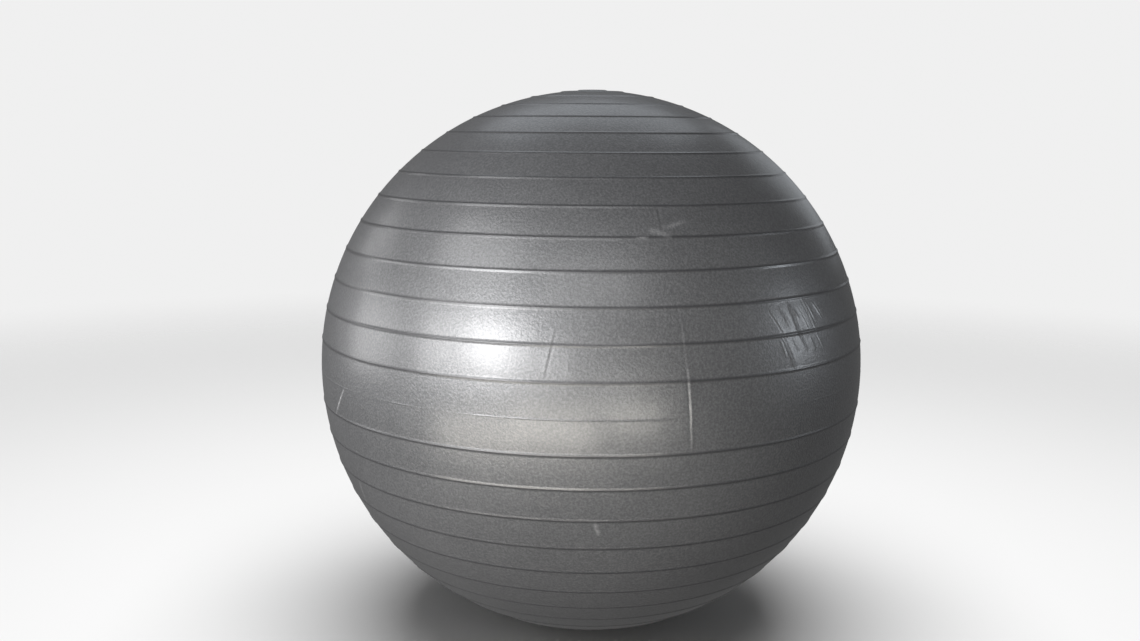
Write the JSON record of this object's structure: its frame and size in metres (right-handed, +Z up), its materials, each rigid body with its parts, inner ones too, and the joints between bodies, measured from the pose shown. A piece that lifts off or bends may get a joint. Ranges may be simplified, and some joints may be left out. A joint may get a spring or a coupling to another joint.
{
  "type": "exercise ball",
  "caption": "Inflated ribbed anti-burst exercise ball with a moulded grip-ring pattern, and a recessed valve closed by a barbed pull-out air plug.",
  "frame": {"origin": "middle of the flat patch where the ball rests on the floor", "axes": "+Z up along the ball's axis, through the poles of its ring pattern, from the floor to the air valve; X and Y are alike"},
  "size_m": [0.5206, 0.5206, 0.519],
  "materials": {
    "shell": "satin",
    "valve_insert": "matte",
    "air_plug": "satin"
  },
  "bodies": {
    "ball": {"ball_shell": "shell", "valve_insert": "valve_insert"},
    "plug": {"air_plug": "air_plug"}
  },
  "joints": [
    {"name": "plug_pull", "type": "slide", "parent": "ball", "child": "plug", "axis": [0, 0, 1], "range_m": [0, 0.06]}
  ]
}
